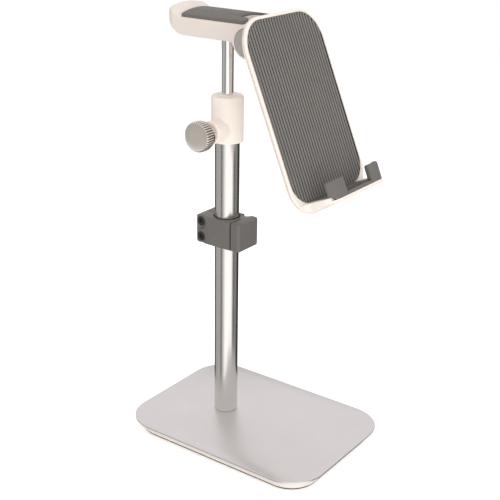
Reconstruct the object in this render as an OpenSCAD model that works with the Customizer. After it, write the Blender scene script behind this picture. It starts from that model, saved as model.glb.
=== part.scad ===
// Phone stand with headphone hanger: weighted base, telescopic pole, tilting tray, cable clip.
// Millimetres, +Z up. The origin is the centre of the base's underside; the tray faces -Y.

/* [Base] */
// Width of the base plate
base_w = 102; // [96:1:120]
// Depth of the base plate
base_l = 140.5; // [136:0.5:160]
// Corner radius of the base plate
base_r = 23; // [18:1:26]
// Height of the base plate's top face
base_h = 9; // [8.6:0.1:12]
// Thickness of the metal base plate
plate_t = 1.2; // [1:0.1:2]
// How far the under-base is set in from the plate's edge
housing_inset = 5; // [4:0.5:8]

/* [Pole] */
// Outer diameter of the tube
pole_d = 15; // [14.5:0.1:15.5]
// Distance of the tube behind the base's centre
pole_y = 23.4; // [15:0.1:30]
// Height of the tube's top end
pole_top = 212; // [210:0.5:213]
// Diameter of the sliding rod
rod_d = 7; // [6.5:0.1:7.2]
// Height of the rod's foot
rod_foot = 104; // [95:1:115]

/* [Collar and thumbscrew] */
// Outer diameter of the collar
collar_d = 19.4; // [19:0.1:21]
// Height of the collar's lower face
collar_low = 190.5; // [189:0.5:192]
// Height of the collar's upper face
collar_high = 218.5; // [217:0.5:219]
// Height of the thumbscrew's axis
screw_z = 198.7; // [198:0.1:200]
// Diameter of the knurled knob
knob_d = 18.2; // [16:0.1:19]
// Thickness of the knurled knob
knob_t = 7.4; // [5:0.1:8]
// Distance of the knob's outer face from the tube's axis
knob_reach = 29.9; // [29:0.1:31]

/* [Hanger] */
// Width of the hanger
hanger_w = 33; // [32:0.5:34]
// Height of the hanger's underside
hanger_low = 253.1; // [253:0.1:253.4]
// Position of the hanger's back end
hanger_back = 56; // [55:0.5:60]
// Radius of the arch that the headband lies on
arch_r = 55.7; // [52:0.1:60]
// Radius at the back end's lower edge
hanger_heel_r = 13; // [10:0.5:13]

/* [Tray] */
// Lean of the tray from upright, in degrees
tray_lean = 23; // [15:1:30]
// Width of the tray
tray_w = 75.4; // [72:0.1:80]
// Width of the ribbed pad
pad_w = 72; // [68:0.1:72.6]
// Thickness of each of the tray's two plates
tray_t = 1.6; // [1.4:0.1:1.7]
// Depth of the slot that the phone stands in
slot_n = 15.5; // [13:0.5:16]
// Height of the hooks above the shelf mat
hook_h = 8.7; // [7:0.1:10]
// Half of the gap between the hooks
hook_gap = 13; // [10:0.5:15]

/* [Cable clip] */
// Height of the clip's lower face
clip_low = 125; // [60:1:150]
// Height of the clip
clip_h = 18; // [17:0.5:20]
// Radius of the cable channel
channel_r = 3; // [2.5:0.1:3.1]

/* [Hidden] */
$fn = 96;
eps = 0.01;
big = 400;

// running and assembly clearances on the radius
run = 0.05;
slip = 0.1;

// base stack, from the floor up
mat_t = 1;
housing_t = 1.6;
plate_low = base_h - plate_t;
cavity_top = plate_low - housing_t;
base_screw_x = 33;
base_screw_y = 52;
stud_r = 3;
stud_low = cavity_top - 1.6;
m3_r = 1.5;
m3_head_r = 2.8;
washer_t = 1.2;
pole_wall = 1.5;
pole_in_r = pole_d / 2 - pole_wall;
plug_h = 16;
m6_r = 3;
m6_head_t = 3.6;

// collar and thumbscrew
boss_r = 7;
boss_end = 17.3;
insert_r = 3;
m4_r = 2;
pad_len = 2;
pad_face = rod_d / 2 + run;
knob_in = knob_reach - knob_t;
knob_hub_r = 5.5;
knob_hub_end = 18;
guide_low = 203.5;
guide_neck_r = 5;

// head
hinge_y = -1.4;
hinge_z = 253.8;
knuckle_r = 8.4;
prong_r = 9.4;
nose_r = 12.1;
notch_half = 8.5;
knuckle_half = 7.9;
arch_top = 265.9;
arch_side = 263.4;
hanger_pad_t = 1.5;
lip_h = 4;
lip_front = 46.5;
notch_back = hinge_y + 8.8;
cover_t = 2;
journal_r = 2.5;
journal_low = 255.4;
journal_top = 260.6;
bush_r = 4.5;
cap_r = 7.9;
cap_t = 1.2;
m4_head_r = 3.8;
m4_head_t = 2.6;

// tray, in its own frame: X across, Y towards the back, Z up the plate, origin on the hinge axis
face_y = -15.2;
rim_y = -15;
seam_y = rim_y + tray_t;
back_y = seam_y + tray_t;
tray_high = 11;
tray_low = -100.2;
tray_r_top = 19;
tray_r_low = 17;
pad_high = 9;
pad_low = -93.3;
pad_r_top = 17.5;
pad_r_low = 13.3;
pad_bed = 0.9;
shelf_half = 28.6;
shoulder_x = 23.6;
shelf_r = 8;
shelf_top = -95.2;
mat_shelf_t = 1.8;
hook_t = 3.5;
hook_core_t = 1.2;
hook_end_n = 14.5;
bracket_y = back_y + 1.8;
tray_screw_x = 10;
tray_screw_z = [-17, -26];

// cable clip
clip_left = -10.5;
clip_right = 10;
clip_front = 6.5;
clip_back = 40;
clip_corner_r = 2;
clip_seam_y = 13;
clip_seam = 1;
liner_t = 0.8;
clip_bore_r = pole_d / 2 + run + liner_t;
ear_x = -8.8;
ear_y = 36.7;
ear_pitch = 10;
scallop_r = 5;
channel_x = 9;
channel_y = 14.4;
clip_nut_x = 5.6;

// ---- helpers ----

// Rectangle from corner a to corner b with its low corners and its high corners rounded
module round_rect(a, b, r_low, r_high) {
    square_w = b[0] - a[0];
    translate([a[0], a[1] + r_low]) square([square_w, b[1] - a[1] - r_low - r_high]);
    translate([a[0] + r_low, a[1]]) square([square_w - 2 * r_low, r_low + eps]);
    translate([a[0] + r_high, b[1] - r_high - eps]) square([square_w - 2 * r_high, r_high + eps]);
    for (x = [a[0] + r_low, b[0] - r_low]) translate([x, a[1] + r_low]) circle(r_low);
    for (x = [a[0] + r_high, b[0] - r_high]) translate([x, b[1] - r_high]) circle(r_high);
}

// Outline of the base, set in by d
module base_outline(d) {
    round_rect([d - base_w / 2, d - base_l / 2], [base_w / 2 - d, base_l / 2 - d], base_r - d, base_r - d);
}

module at_pole() { translate([0, pole_y, 0]) children(); }

// Cylinder of radius r from height a to height b
module post(r, a, b) { translate([0, 0, a]) cylinder(r = r, h = b - a); }

// Tube with outer radius r and bore radius r_in from height a to height b
module ring(r, r_in, a, b) {
    difference() {
        post(r, a, b);
        post(r_in, a - 1, b + 1);
    }
}

// Turns children's +Z to -X, on the thumbscrew's axis
module along_screw() { translate([0, pole_y, screw_z]) rotate([0, -90, 0]) children(); }

// Turns children's +Z to +X, on the hinge axis
module along_hinge() { translate([0, hinge_y, hinge_z]) rotate([0, 90, 0]) children(); }

// Places children in the tray's frame
module in_tray() { translate([0, hinge_y, hinge_z]) rotate([-tray_lean, 0, 0]) children(); }

// Extrudes an X-Z outline of the tray's frame from y = a to y = b
module tray_slab(a, b) { translate([0, b, 0]) rotate([90, 0, 0]) linear_extrude(b - a) children(); }

// Extrudes an X-n plan of the tray, n being the distance in front of the pad, from z = a to z = b
module tray_plan(a, b) { translate([0, face_y, a]) mirror([0, 1, 0]) linear_extrude(b - a) children(); }

// ---- base ----

module base_screw_places() {
    for (x = [-base_screw_x, base_screw_x]) for (y = [-base_screw_y, base_screw_y]) translate([x, y, 0]) children();
}

module base_plate() {
    color("gainsboro") difference() {
        union() {
            translate([0, 0, plate_low]) linear_extrude(plate_t) base_outline(0);
            base_screw_places() post(stud_r, stud_low, plate_low + eps);
        }
        base_screw_places() post(m3_r + run, stud_low - 1, base_h - 0.6);
        at_pole() post(m6_r + slip, plate_low - 1, base_h + 1);
    }
}

module base_housing() {
    color("white") difference() {
        translate([0, 0, mat_t]) linear_extrude(plate_low - mat_t) base_outline(housing_inset);
        translate([0, 0, mat_t - 1]) linear_extrude(cavity_top - mat_t + 1) base_outline(housing_inset + 2);
        base_screw_places() post(stud_r + slip, 0, base_h);
        at_pole() post(m6_r + slip, 0, base_h);
    }
}

module base_weight() {
    color("dimgray") difference() {
        translate([0, 0, mat_t]) linear_extrude(cavity_top - mat_t) base_outline(housing_inset + 2.2);
        base_screw_places() {
            post(m3_r + 2 * slip, 0, base_h);
            post(stud_r + slip, stud_low - slip, base_h);
            post(m3_head_r + slip, 0, mat_t + 2.2);
        }
        at_pole() post(8, 0, base_h);
    }
}

module base_mat() {
    color("darkgray") linear_extrude(mat_t) base_outline(housing_inset + 1);
}

module base_screws() {
    color("silver") base_screw_places() {
        post(m3_head_r, mat_t + 0.4, mat_t + 2.2);
        post(m3_r, mat_t + 2.2 - eps, base_h - 1);
    }
}

// ---- pole ----

module pole_tube() {
    color("lightgray") difference() {
        at_pole() ring(pole_d / 2, pole_in_r, base_h, pole_top);
        along_screw() post(m4_r + 0.5, 0, pole_d);
    }
}

module pole_plug() {
    color("silver") at_pole() ring(pole_in_r - run, m6_r + run, base_h, base_h + plug_h);
}

module pole_bolt() {
    head_top = cavity_top - washer_t;
    color("silver") at_pole() {
        translate([0, 0, head_top - m6_head_t]) cylinder(r = 5.6, h = m6_head_t, $fn = 6);
        post(m6_r, head_top - eps, base_h + plug_h - 2);
    }
}

module pole_washer() {
    color("silver") at_pole() ring(7, m6_r + slip, cavity_top - washer_t, cavity_top);
}

module collar() {
    color("seashell") difference() {
        union() {
            at_pole() post(collar_d / 2, collar_low, collar_high);
            along_screw() post(boss_r, collar_d / 4, boss_end);
        }
        at_pole() {
            post(pole_d / 2 + run, collar_low - 1, pole_top);
            post(guide_neck_r + run, pole_top - 1, collar_high + 1);
        }
        along_screw() post(insert_r + run, 0, boss_end + 1);
    }
}

module boss_insert() {
    color("goldenrod") along_screw() ring(insert_r, m4_r + run, pole_d / 2 + 0.7, boss_end - 0.3);
}

module rod_guide() {
    color("whitesmoke") at_pole() difference() {
        union() {
            post(pole_in_r - run, guide_low, pole_top);
            post(guide_neck_r, pole_top - eps, collar_high - 0.3);
        }
        post(rod_d / 2 + run, guide_low - 1, collar_high + 1);
    }
}

// ---- thumbscrew ----

module clamp_pad() {
    color("whitesmoke") along_screw() post(m4_r - run, pad_face, pad_face + pad_len);
}

module thumbscrew_stud() {
    color("silver") along_screw() post(m4_r, pad_face + pad_len, knob_in + 1);
}

module thumbscrew_knob() {
    rim = 0.6;
    color("silver") along_screw() difference() {
        rotate_extrude() polygon([[0, knob_hub_end], [knob_hub_r, knob_hub_end], [knob_hub_r, knob_in],
            [knob_d / 2 - rim, knob_in], [knob_d / 2, knob_in + rim], [knob_d / 2, knob_reach - rim],
            [knob_d / 2 - rim, knob_reach], [0, knob_reach]]);
        post(m4_r, 0, knob_in + 1);
    }
}

// ---- rod ----

module rod() {
    color("silver") at_pole() difference() {
        union() {
            post(rod_d / 2, rod_foot, journal_low);
            post(journal_r, journal_low - eps, journal_top);
        }
        post(m3_r - 0.2, journal_top - 8, journal_top + 1);
    }
}

module rod_piston() {
    color("whitesmoke") at_pole() ring(pole_in_r - run, rod_d / 2, rod_foot, rod_foot + 12);
}

module swivel_washer() {
    color("silver") at_pole() ring(bush_r + 0.5, m3_r, journal_top, journal_top + 0.8);
}

module swivel_screw() {
    color("silver") at_pole() {
        post(m3_r - 0.2, journal_top - 7, journal_top + 1);
        post(m3_head_r, journal_top + 0.8, journal_top + 2.4);
    }
}

// ---- hanger ----

// Cross-section of the hanger, raised by lift and set in by d at each side
module hanger_section(lift, d) {
    intersection() {
        translate([d - hanger_w / 2, hanger_low]) square([hanger_w - 2 * d, arch_top + lift - hanger_low]);
        translate([0, arch_top + lift - arch_r]) circle(arch_r, $fn = 360);
    }
}

// Extrudes a cross-section from y = a to y = b
module along_y(a, b) { translate([0, b, 0]) rotate([90, 0, 0]) linear_extrude(b - a) children(); }

// Extrudes a side view, drawn in Y and Z, from x = a to x = b
module along_x(a, b) { translate([a, 0, 0]) rotate([90, 0, 90]) linear_extrude(b - a) children(); }

// Side view of the hanger: rounded nose on the hinge, rounded heel, lip at the back
module hanger_side() {
    translate([hinge_y, hinge_z]) circle(prong_r);
    intersection() {
        translate([hinge_y - prong_r + nose_r, hinge_z]) circle(nose_r);
        translate([hinge_y - prong_r, hinge_z]) square([nose_r, nose_r]);
    }
    translate([hinge_y + 2, hanger_low]) square([hanger_back - hanger_heel_r - hinge_y - 2, arch_top - hanger_low]);
    translate([hanger_back - hanger_heel_r - 1, hanger_low + hanger_heel_r]) square([hanger_heel_r + 1, 9]);
    translate([hanger_back - hanger_heel_r, hanger_low + hanger_heel_r]) circle(hanger_heel_r);
}

module hanger_solid() {
    intersection() {
        along_y(hinge_y - prong_r, hanger_back) hanger_section(0, 0);
        along_x(-hanger_w / 2, hanger_w / 2) hanger_side();
    }
    lip_scoop_r = 9;
    difference() {
        intersection() {
            along_y(lip_front - 1, hanger_back) hanger_section(lip_h, 0);
            along_x(-hanger_w / 2, hanger_w / 2) hanger_side();
        }
        along_x(-hanger_w, hanger_w) {
            translate([lip_front - 1, arch_top + lip_scoop_r - 1]) circle(lip_scoop_r);
            translate([lip_front - 30, arch_side - 0.5]) square([30, 30]);
        }
    }
}

module hanger_shell() {
    color("white") difference() {
        hanger_solid();
        // hollow under the top, from behind the notch to the heel
        along_x(-hanger_w / 2 + 2, hanger_w / 2 - 2)
            translate([notch_back + 2, hanger_low - 1]) square([hanger_back - 16.5 - notch_back, arch_side - hanger_low - 0.6]);
        // notch for the knuckle
        along_x(-notch_half, notch_half) {
            translate([hinge_y - prong_r - 1, hinge_z - prong_r - 1]) square([notch_back - hinge_y + prong_r + 1, 30]);
        }
        // hinge bolt, its head and nut, and the round caps
        along_hinge() {
            post(m4_r + run, -hanger_w, hanger_w);
            for (s = [0, 1]) mirror([0, 0, s]) {
                post(cap_r + slip, hanger_w / 2 - cap_t, hanger_w);
                post(m4_head_r + 2 * slip, hanger_w / 2 - 4.2, hanger_w);
            }
        }
        at_pole() post(m3_head_r + 0.5, arch_side - 2, arch_top + 1);
    }
    // boss that holds the swivel bush, and two screw posts for the cover
    color("white") difference() {
        union() {
            at_pole() post(bush_r + 2, hanger_low + cover_t + slip, arch_side - 1);
            hanger_posts();
        }
        at_pole() {
            post(bush_r, hanger_low, journal_top);
            post(bush_r + 1.2, journal_top - 0.1, arch_side + 3);
        }
    }
}

// Posts that the cover's screws enter
module hanger_posts() {
    for (y = [14, 33]) translate([0, y, 0]) ring(3, m3_r - 0.4, hanger_low + cover_t + slip, arch_side - 1);
}

module hanger_cover() {
    color("white") difference() {
        translate([0, 0, hanger_low]) linear_extrude(cover_t)
            translate([2.1 - hanger_w / 2, notch_back + 2.1]) square([hanger_w - 4.2, hanger_back - 16.7 - notch_back]);
        at_pole() post(rod_d / 2 + 0.3, hanger_low - 1, hanger_low + cover_t + 1);
        for (y = [14, 33]) translate([0, y, 0]) {
            post(m3_r, hanger_low - 1, hanger_low + cover_t + 1);
            post(m3_head_r, hanger_low - 1, hanger_low + 1.1);
        }
    }
}

module hanger_cover_screws() {
    color("silver") for (y = [14, 33]) translate([0, y, 0]) {
        post(m3_head_r - slip, hanger_low + 0.1, hanger_low + 1.1);
        post(m3_r - 0.4, hanger_low + 1.1 - eps, hanger_low + 8);
    }
}

module hanger_pad() {
    pad_front = hinge_y + 1.6;
    pad_back = lip_front - 0.6;
    color("dimgray") difference() {
        along_y(pad_front, pad_back) difference() {
            hanger_section(hanger_pad_t, 1);
            translate([0, arch_top - arch_r]) circle(arch_r, $fn = 360);
            translate([-big / 2, 0]) square([big, arch_side]);
        }
        translate([-notch_half, pad_front - 1, hanger_low]) cube([2 * notch_half, notch_back - pad_front + 1, 30]);
    }
}

module swivel_bush() {
    color("whitesmoke") at_pole() ring(bush_r - run, journal_r + run, journal_low + run, journal_top - run);
}

// ---- hinge ----

module hinge_bolt() {
    head = hanger_w / 2 - 4.2;
    color("silver") along_hinge() {
        post(m4_r, -head - 0.1, head + 2.4);
        mirror([0, 0, 1]) post(m4_head_r, head, head + m4_head_t);
    }
}

module hinge_nut() {
    start = hanger_w / 2 - 3.4;
    color("silver") along_hinge() difference() {
        translate([0, 0, start]) cylinder(r = 3.9, h = 2, $fn = 6);
        post(m4_r, 0, hanger_w);
    }
}

module hinge_spring_washer() {
    start = hanger_w / 2 - 4.2;
    color("silver") along_hinge() ring(3.8, m4_r, start, start + 0.8);
}

module friction_washers() {
    color("dimgray") along_hinge() for (s = [0, 1]) mirror([0, 0, s])
        ring(7.5, m4_r + run, knuckle_half + 0.02, notch_half);
}

module hinge_cap() {
    color("darkgray") along_hinge() post(cap_r, hanger_w / 2 - cap_t, hanger_w / 2);
}

module hinge_cap_right() { hinge_cap(); }

module hinge_cap_left() { mirror([1, 0, 0]) hinge_cap(); }

// ---- tray ----

module tray_bracket() {
    color("white") in_tray() difference() {
        union() {
            rotate([0, 90, 0]) post(knuckle_r, -knuckle_half, knuckle_half);
            translate([-knuckle_half, back_y, -7]) cube([2 * knuckle_half, -back_y - 3, 15.4]);
            tray_slab(back_y, bracket_y) {
                round_rect([-knuckle_half, -20], [knuckle_half, 9], 1, 2);
                round_rect([-14, -30], [14, -13], 4, 4);
            }
        }
        rotate([0, 90, 0]) post(m4_r + run, -hanger_w, hanger_w);
        tray_screw_places() post(1.1, -2, 3);
    }
}

// Screw axes through the bracket's flange, with +Z towards the tray's front
module tray_screw_places() {
    for (x = [-tray_screw_x, tray_screw_x]) for (z = tray_screw_z)
        translate([x, bracket_y, z]) rotate([90, 0, 0]) children();
}

module tray_screws() {
    color("silver") in_tray() tray_screw_places() {
        post(1.1, -0.1, bracket_y - seam_y);
        post(2, -1, 0);
    }
}

module tray_outline(d) {
    round_rect([d - tray_w / 2, tray_low + d], [tray_w / 2 - d, tray_high - d], tray_r_low - d, tray_r_top - d);
}

module pad_outline(d) {
    round_rect([-d - pad_w / 2, pad_low - d], [pad_w / 2 + d, pad_high + d], pad_r_low + d, pad_r_top + d);
}

// Plan of the shelf, from n = 0 to its front, set in by d
module shelf_plan(d) {
    front = slot_n + hook_t;
    round_rect([d - shelf_half, -0.7], [shelf_half - d, front - d], eps, shelf_r - d);
}

// Plan of the two white shoulders beside the shelf mat, grown by d
module shoulder_plan(d) {
    for (s = [0, 1]) mirror([s, 0, 0]) intersection() {
        shelf_plan(0);
        translate([shoulder_x - d, -1]) square([shelf_half, hook_end_n + 1 + d]);
    }
}

// Plan of one hook's cover, or of its core when set in by d
module hook_plan(d) {
    intersection() {
        difference() {
            shelf_plan(d);
            shelf_plan(hook_t - d);
        }
        translate([hook_gap + d, hook_end_n + d]) square([shelf_half, shelf_half]);
    }
}

module tray_front() {
    core_d = (hook_t - hook_core_t) / 2;
    color("white") in_tray() {
        difference() {
            union() {
                tray_slab(rim_y, seam_y) tray_outline(0);
                tray_plan(tray_low + 1, shelf_top) shelf_plan(0);
                tray_plan(shelf_top - eps, shelf_top + mat_shelf_t) shoulder_plan(0);
            }
            tray_slab(face_y - 1, rim_y + pad_bed) pad_outline(0.05);
            // underside of the shelf, rising towards its front
            translate([-big / 2, rim_y, tray_low + 1]) rotate([-7, 0, 0]) translate([0, -40, -20]) cube([big, 40, 20]);
        }
        for (s = [0, 1]) mirror([s, 0, 0]) tray_plan(shelf_top - eps, shelf_top + mat_shelf_t + hook_h - 1.2)
            hook_plan(core_d);
    }
}

module tray_back() {
    color("white") in_tray() difference() {
        tray_slab(seam_y, back_y) tray_outline(0.3);
        tray_screw_places() post(1.1, 0, 10);
    }
}

module tray_pad() {
    color("dimgray") in_tray() tray_slab(face_y, rim_y + pad_bed) pad_outline(0);
}

module shelf_mat() {
    core_d = (hook_t - hook_core_t) / 2;
    color("dimgray") in_tray() tray_plan(shelf_top, shelf_top + mat_shelf_t) difference() {
        shelf_plan(0);
        translate([-shelf_half, -1]) square([2 * shelf_half, 1.05]);
        shoulder_plan(0);
        for (s = [0, 1]) mirror([s, 0, 0]) hook_plan(core_d);
    }
}

module hook_cover() {
    core_d = (hook_t - hook_core_t) / 2;
    low = shelf_top + mat_shelf_t;
    color("dimgray") in_tray() difference() {
        tray_plan(low, low + hook_h) hook_plan(0);
        tray_plan(low - 1, low + hook_h - 1.2) hook_plan(core_d);
    }
}

module hook_cover_right() { hook_cover(); }

module hook_cover_left() { mirror([1, 0, 0]) hook_cover(); }

// ---- cable clip ----

module clip_outline() {
    round_rect([clip_left, clip_front], [clip_right, clip_back], clip_corner_r, clip_corner_r);
}

module clip_block() { translate([0, 0, clip_low]) linear_extrude(clip_h) children(); }

// Screw axes of the clip, with +Z towards +X
module clip_screw_places() {
    for (s = [-1, 1]) translate([0, ear_y, clip_low + clip_h / 2 + s * ear_pitch / 2]) rotate([0, 90, 0]) children();
}

module clip_liner() {
    color("black") at_pole() ring(clip_bore_r, pole_d / 2 + run, clip_low + 0.5, clip_low + clip_h - 0.5);
}

module clip_shell() {
    color("dimgray") difference() {
        clip_block() difference() {
            intersection() {
                clip_outline();
                translate([clip_left, clip_seam_y + clip_seam / 2]) square([-clip_left - 0.2, clip_back]);
            }
            translate([0, pole_y]) circle(clip_bore_r + 0.02);
        }
        clip_screw_places() {
            post(scallop_r, clip_left - 1, ear_x);
            post(m4_head_r - 0.8, clip_left - 1, ear_x + 2.4);
            post(m3_r + slip, clip_left - 1, 1);
        }
        translate([clip_left - 1, ear_y, clip_low - 1]) cube([ear_x - clip_left + 1, 20, clip_h + 2]);
    }
}

module clip_frame() {
    color("dimgray") difference() {
        clip_block() difference() {
            clip_outline();
            translate([clip_left - 1, clip_seam_y - clip_seam / 2]) square([-clip_left + 1.2, big]);
            translate([0, pole_y]) circle(clip_bore_r + 0.02);
            translate([channel_x, channel_y]) circle(channel_r);
        }
        clip_screw_places() {
            post(m3_r + slip, -1, clip_right + 1);
            translate([0, 0, clip_nut_x]) cylinder(r = 3.3, h = 10, $fn = 6);
        }
    }
}

module clip_screws() {
    color("black") clip_screw_places() {
        post(2.8, ear_x + 0.2, ear_x + 2.4);
        post(m3_r, ear_x + 2.3, clip_nut_x + 2.4);
    }
}

module clip_nuts() {
    color("silver") clip_screw_places() difference() {
        translate([0, 0, clip_nut_x]) cylinder(r = 3.2, h = 2.4, $fn = 6);
        post(m3_r, 0, clip_right);
    }
}

base_plate();
base_housing();
base_weight();
base_mat();
base_screws();
pole_tube();
pole_plug();
pole_bolt();
pole_washer();
collar();
boss_insert();
rod_guide();
clamp_pad();
thumbscrew_knob();
thumbscrew_stud();
rod();
rod_piston();
swivel_washer();
swivel_screw();
swivel_bush();
hanger_shell();
hanger_cover();
hanger_cover_screws();
hanger_pad();
hinge_bolt();
hinge_nut();
hinge_spring_washer();
friction_washers();
hinge_cap_left();
hinge_cap_right();
tray_bracket();
tray_front();
tray_back();
tray_pad();
tray_screws();
shelf_mat();
hook_cover_left();
hook_cover_right();
clip_liner();
clip_shell();
clip_frame();
clip_screws();
clip_nuts();
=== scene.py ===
import math

import bmesh
import bpy
from mathutils import Matrix, Vector


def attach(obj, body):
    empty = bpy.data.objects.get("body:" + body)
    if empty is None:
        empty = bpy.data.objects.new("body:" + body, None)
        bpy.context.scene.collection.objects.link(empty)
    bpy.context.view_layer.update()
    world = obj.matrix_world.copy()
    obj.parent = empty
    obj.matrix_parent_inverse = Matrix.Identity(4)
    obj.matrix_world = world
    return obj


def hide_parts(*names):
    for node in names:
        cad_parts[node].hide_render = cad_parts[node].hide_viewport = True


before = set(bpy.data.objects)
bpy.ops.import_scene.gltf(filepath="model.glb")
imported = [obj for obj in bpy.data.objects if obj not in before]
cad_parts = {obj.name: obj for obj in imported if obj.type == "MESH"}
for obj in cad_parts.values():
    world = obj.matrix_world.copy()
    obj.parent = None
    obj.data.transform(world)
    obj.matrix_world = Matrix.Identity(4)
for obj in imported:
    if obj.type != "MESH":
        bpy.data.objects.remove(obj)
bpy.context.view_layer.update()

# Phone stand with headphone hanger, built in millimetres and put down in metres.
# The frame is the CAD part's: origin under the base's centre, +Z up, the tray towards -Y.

MM = 0.001

# Base
BASE_X = 51.0
BASE_Y = 70.25
BASE_R = 23.0
PLATE_LOW = 7.8
PLATE_TOP = 9.0
HOUSING_INSET = 5.0
HOUSING_LOW = 1.0
CAVITY_INSET = 7.0
CAVITY_TOP = 6.2
MAT_INSET = 6.0

# Pole, rod and collar
POLE_Y = 23.4
POLE_R = 7.5
POLE_BORE = 6.0
POLE_TOP = 212.0
ROD_R = 3.5
ROD_FOOT = 104.0
ROD_SHOULDER = 255.4
JOURNAL_R = 2.5
JOURNAL_TOP = 260.6
COLLAR_R = 9.7
COLLAR_LOW = 190.5
COLLAR_HIGH = 218.5
GUIDE_LOW = 203.5
GUIDE_NECK_R = 5.0
SCREW_Z = 198.7
BOSS_R = 7.0
BOSS_END = 17.3
KNOB_R = 9.1
KNOB_FACE = 29.9
KNOB_BACK = 22.5
KNOB_TEETH = 36
KNURL_DEPTH = 0.85

# Hanger
HINGE_Y = -1.4
HINGE_Z = 253.8
HANGER_X = 16.5
HANGER_LOW = 253.1
HANGER_BACK = 56.0
HEEL_R = 13.0
PRONG_R = 9.4
NOSE_R = 12.1
ARCH_R = 55.7
ARCH_TOP = 265.9
LIP_START = 45.8
LIP_FULL = 53.4
LIP_RISE = 4.0
LIP_ROUND = 2.4
NOTCH_X = 8.5
NOTCH_BACK = 7.4
COVER_SCREW_Y = (14, 33)
KNUCKLE_X = 7.9
KNUCKLE_R = 8.4
CAP_R = 7.9
HINGE_BOLT_R = 2.05

# Tray, in its own frame: X across, -Y out of its face, Z up the plate
TRAY_LEAN = 23.0
TRAY_X = 37.7
TRAY_LOW = -100.2
TRAY_HIGH = 11.0
TRAY_R_LOW = 17.0
TRAY_R_HIGH = 19.0
TRAY_BACK = 11.8
TRAY_SEAM = 13.4
TRAY_RIM = 15.0
PAD_X = 36.0
PAD_LOW = -93.3
PAD_HIGH = 9.0
PAD_R_LOW = 13.3
PAD_R_HIGH = 17.5
PAD_BED = 14.1
PAD_FACE = 15.2
RIB_PITCH = 2.5
RIB_DEPTH = 0.7
SHELF_X = 28.6
SHELF_N = 19.0
SHOULDER_X = 23.6
SHELF_R = 8.0
SHELF_TOP = -95.2
SHELF_RISE = 3.0
MAT_TOP = -93.4
HOOK_TOP = -84.7
HOOK_T = 3.5
HOOK_GAP = 13.0
HOOK_END_N = 14.5
TRAY_SCREW_X = (-10, 10)
TRAY_SCREW_Z = (-17, -26)

# Cable clip
CLIP_LOW = 125.0
CLIP_HIGH = 143.0
CLIP_BORE = 8.37
EAR_X = -8.8
EAR_Y = 36.7
CLIP_FRONT = 12.5
CLIP_SEAM = 1.0
CLIP_SCREW_Z = (129.0, 139.0)
CLIP_COUNTERBORE = 2.4

# The camera's heading, from +Y towards +X
HEADING = math.radians(54.187)


# ---- mesh helpers, in millimetres ----

def arc(cx, cy, r, start, end, steps):
    """Points on a circle from one angle to another, in degrees."""
    points = []
    for k in range(steps + 1):
        a = math.radians(start + (end - start) * k / steps)
        points.append((cx + r * math.cos(a), cy + r * math.sin(a)))
    return points


def fall(r, reach):
    """How far an edge rounded by r has fallen away, at a reach past the start of its rounding."""
    return r - math.sqrt(max(r ** 2 - max(reach, 0) ** 2, 0))


def circle(steps):
    """Points of a circle of radius 1."""
    return [(math.cos(2 * math.pi * k / steps), math.sin(2 * math.pi * k / steps)) for k in range(steps)]


def round_rect(x0, y0, x1, y1, r_low, r_high, inset=0.0, steps=16):
    """Anticlockwise rectangle with rounded low and high corners, set in by inset."""
    a = max(r_low - inset, 0.02)
    b = max(r_high - inset, 0.02)
    x0, y0, x1, y1 = x0 + inset, y0 + inset, x1 - inset, y1 - inset
    loop = arc(x1 - a, y0 + a, a, -90, 0, steps)
    loop += arc(x1 - b, y1 - b, b, 0, 90, steps)
    loop += arc(x0 + b, y1 - b, b, 90, 180, steps)
    loop += arc(x0 + a, y0 + a, a, 180, 270, steps)
    return loop


def round_polygon(corners, steps=8):
    """Loop through corners (x, y, radius), each rounded by its own radius."""
    loop = []
    count = len(corners)
    for k, (x, y, r) in enumerate(corners):
        here = Vector((x, y))
        before = Vector(corners[k - 1][:2]) - here
        after = Vector(corners[(k + 1) % count][:2]) - here
        if r <= 0:
            loop.append((x, y))
            continue
        half = before.angle(after) / 2
        reach = r / math.tan(half)
        inward = (before.normalized() + after.normalized()).normalized()
        centre = here + inward * (r / math.sin(half))
        a = here + before.normalized() * reach - centre
        turn = a.angle_signed(here + after.normalized() * reach - centre)
        for s in range(steps + 1):
            c, d = math.cos(-turn * s / steps), math.sin(-turn * s / steps)
            loop.append((centre.x + a.x * c - a.y * d, centre.y + a.x * d + a.y * c))
    return loop


def inset_loop(loop, d):
    """An anticlockwise loop moved inwards by d, for an inset that is small beside its corners."""
    moved = []
    count = len(loop)
    for k in range(count):
        p = Vector(loop[k])
        e0 = (p - Vector(loop[k - 1])).normalized()
        e1 = (Vector(loop[(k + 1) % count]) - p).normalized()
        n = Vector((-e0.y - e1.y, e0.x + e1.x)).normalized()
        stretch = 1 / max(n.dot(Vector((-e1.y, e1.x))), 0.4)
        moved.append((p.x + n.x * d * stretch, p.y + n.y * d * stretch))
    return moved


def loft(loops, cap_start=True, cap_end=True, closed=False):
    """Closed mesh through loops of equal length."""
    bm = bmesh.new()
    rings = [[bm.verts.new(p) for p in loop] for loop in loops]
    pairs = list(zip(rings, rings[1:]))
    if closed:
        pairs.append((rings[-1], rings[0]))
    count = len(loops[0])
    for a, b in pairs:
        for k in range(count):
            m = (k + 1) % count
            bm.faces.new((a[k], a[m], b[m], b[k]))
    if cap_start and not closed:
        bm.faces.new(list(reversed(rings[0])))
    if cap_end and not closed:
        bm.faces.new(rings[-1])
    bmesh.ops.recalc_face_normals(bm, faces=bm.faces)
    return bm


def slab(outline, levels):
    """Loft of outline(inset) at each (height, inset)."""
    return loft([[(x, y, h) for x, y in outline(d)] for h, d in levels])


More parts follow.
